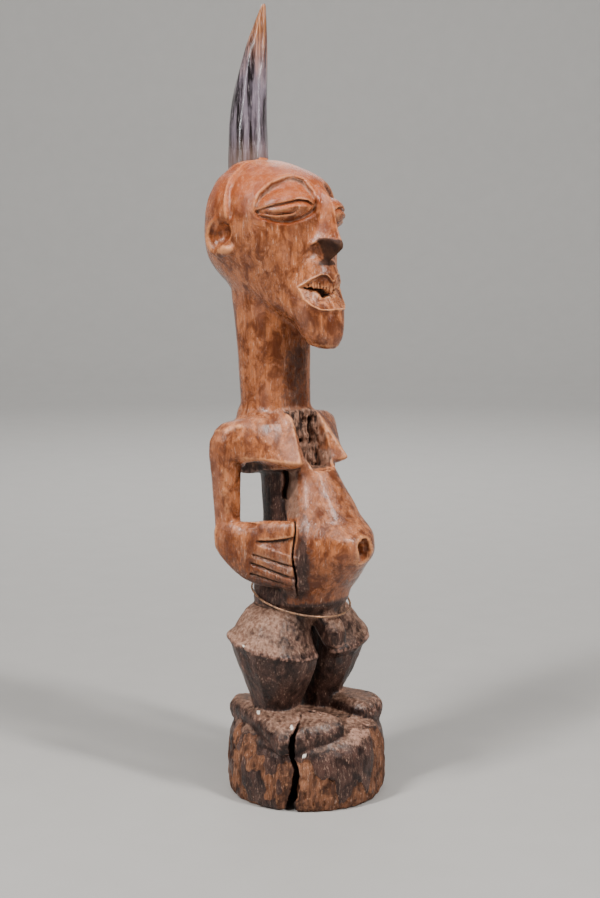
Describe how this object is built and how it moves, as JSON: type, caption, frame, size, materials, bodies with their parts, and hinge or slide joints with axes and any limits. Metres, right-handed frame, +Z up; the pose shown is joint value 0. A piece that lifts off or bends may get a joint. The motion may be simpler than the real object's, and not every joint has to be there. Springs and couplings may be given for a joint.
{
  "type": "standing power figure",
  "caption": "Carved wooden standing figure on a round base, hands at a swollen belly, long neck, mask-like face, animal horn in the crown and a thin wire hoop round the hips.",
  "frame": {"origin": "centre of the base drum's underside", "axes": "+Z up, the figure faces -Y, +X is the figure's own left side"},
  "size_m": [0.1204, 0.15, 0.577],
  "materials": {
    "carved_wood": "handled wood with a satin, red-brown patina, grey-brown and weathered below the hips",
    "horn": "polished black horn, orange-brown at the tip",
    "copper_wire": "dull copper"
  },
  "bodies": {
    "root": {"figure": "carved_wood", "horn": "horn", "waist_wire": "copper_wire"}
  },
  "joints": []
}
